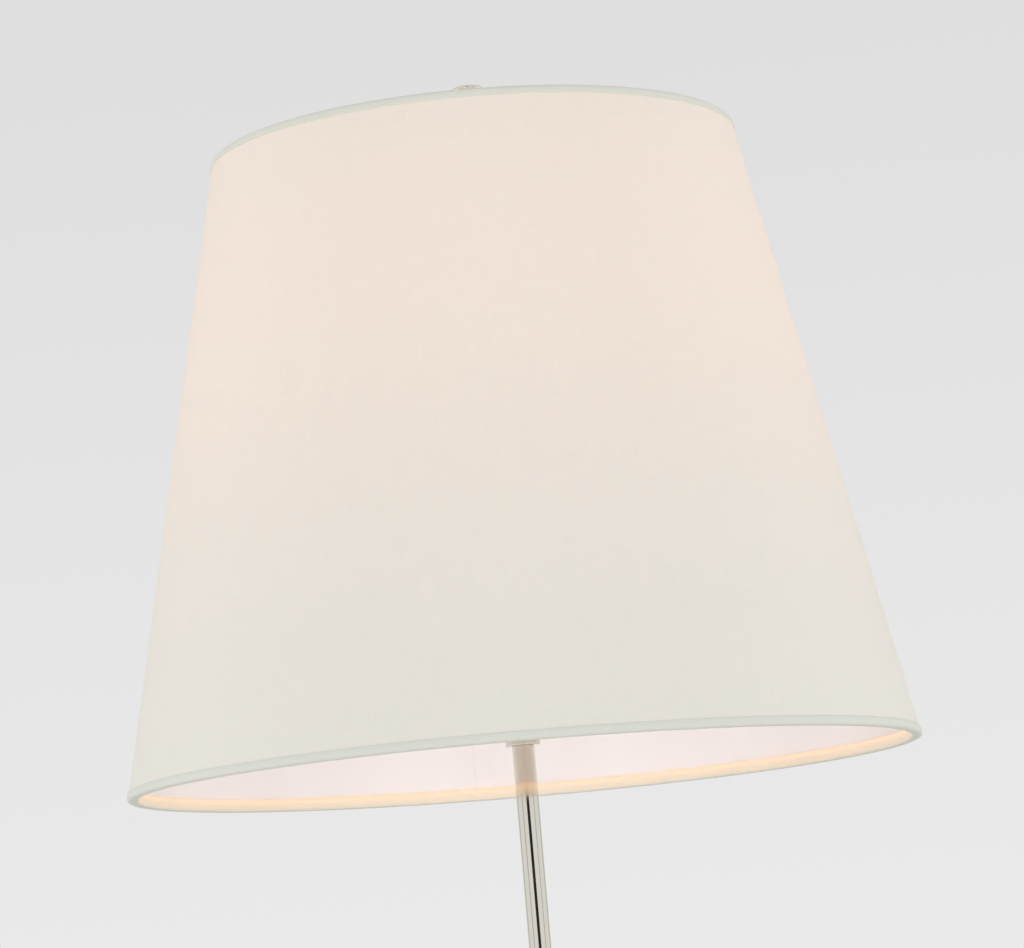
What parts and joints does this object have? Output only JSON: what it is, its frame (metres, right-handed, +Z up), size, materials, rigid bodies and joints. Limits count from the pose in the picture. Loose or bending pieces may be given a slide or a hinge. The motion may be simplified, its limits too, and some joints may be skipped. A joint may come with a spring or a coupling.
{
  "type": "floor lamp",
  "caption": "Floor lamp: weighted round base, telescoping polished stem with a thumbscrew clamp, wire harp, lit bulb and a tapered linen shade that turns.",
  "frame": {"origin": "centre of the base's underside, on the floor", "axes": "+Z up along the pole, -Y is the front, +X is the side that the thumbscrew is on"},
  "size_m": [0.4456, 0.4456, 1.5956],
  "materials": {
    "felt": "pressed wool felt, matt",
    "cast_iron": "black japanned, slightly rough",
    "polished_nickel": "nickel plate polished to a mirror",
    "brass": "lacquered brass",
    "zinc_steel": "bright zinc plate",
    "nylon": "natural nylon",
    "black_rubber": "moulded, matt",
    "fibre": "fish paper, matt",
    "bakelite": "moulded phenolic, glossy",
    "frosted_glass": "etched inside, lit",
    "filament": "drawn wire and glass stem",
    "bulb_aluminium": "pressed, bright",
    "black_glass": "moulded, glossy",
    "white_wire": "white enamel over steel wire",
    "styrene": "white self-adhesive styrene, matt",
    "linen": "plain-woven off-white linen, matt"
  },
  "bodies": {
    "base": {"felt_pad": "felt", "base_weight": "cast_iron", "base_cover": "polished_nickel", "base_collar": "polished_nickel", "base_nipple": "brass", "base_washer": "zinc_steel", "base_nut": "zinc_steel", "cord_bushing": "black_rubber", "outer_tube": "polished_nickel", "pole_foot_plug": "brass", "guide_bush": "nylon", "clamp_collar": "polished_nickel"},
    "shoe": {"friction_shoe": "brass"},
    "screw": {"thumbscrew": "polished_nickel", "thumbscrew_knob": "polished_nickel"},
    "carriage": {"rod_foot_bush": "nylon"},
    "stem": {"inner_rod": "polished_nickel", "rod_top_insert": "brass", "check_ring": "polished_nickel", "neck": "polished_nickel", "neck_nipple": "brass", "harp_saddle": "brass", "lock_nut": "brass", "harp_bow": "brass", "socket_cap": "brass", "cap_set_screw": "zinc_steel", "socket_shell": "brass", "insulating_sleeve": "fibre", "socket_body": "bakelite", "screw_shell": "brass", "centre_contact": "brass", "terminal_screws": "zinc_steel", "bulb_glass": "frosted_glass", "filament_mount": "filament", "bulb_cap": "bulb_aluminium", "bulb_insulator": "black_glass", "bulb_contact": "bulb_aluminium"},
    "left_ferrule": {"ferrule_left": "brass"},
    "right_ferrule": {"ferrule_right": "brass"},
    "switch": {"switch_shaft": "zinc_steel", "switch_key": "bakelite"},
    "shade": {"swivel_stud": "brass", "upper_ring_spider": "white_wire", "lower_ring": "white_wire", "shade_liner": "styrene", "shade_linen": "linen", "upper_hem": "linen", "lower_hem": "linen", "finial": "polished_nickel"}
  },
  "joints": [
    {"name": "height_slide", "type": "slide", "parent": "base", "child": "carriage", "axis": [0, 0, 1], "range_m": [-0.25, 0.15]},
    {"name": "rod_swivel", "type": "hinge", "parent": "carriage", "child": "stem", "pos_m": [0, 0, 0.5], "axis": [0, 0, 1], "range_deg": [-175, 175]},
    {"name": "clamp_travel", "type": "slide", "parent": "base", "child": "shoe", "axis": [1, 0, 0], "range_m": [0, 0.000797]},
    {"name": "clamp_turn", "type": "hinge", "parent": "shoe", "child": "screw", "pos_m": [0.02, 0, 0.908], "axis": [1, 0, 0], "range_deg": [0, 360]},
    {"name": "switch_turn", "type": "hinge", "parent": "stem", "child": "switch", "pos_m": [0, -0.02, 1.351], "axis": [0, -1, 0], "continuous": true},
    {"name": "left_ferrule_lift", "type": "slide", "parent": "stem", "child": "left_ferrule", "axis": [0, 0, 1], "range_m": [0, 0.012]},
    {"name": "right_ferrule_lift", "type": "slide", "parent": "stem", "child": "right_ferrule", "axis": [0, 0, 1], "range_m": [0, 0.012]},
    {"name": "shade_swivel", "type": "hinge", "parent": "stem", "child": "shade", "pos_m": [0, 0, 1.552], "axis": [0, 0, 1], "continuous": true}
  ],
  "couplings": [
    {"joint": "clamp_turn", "follows": "clamp_travel", "rad_per_m": 7874}
  ]
}
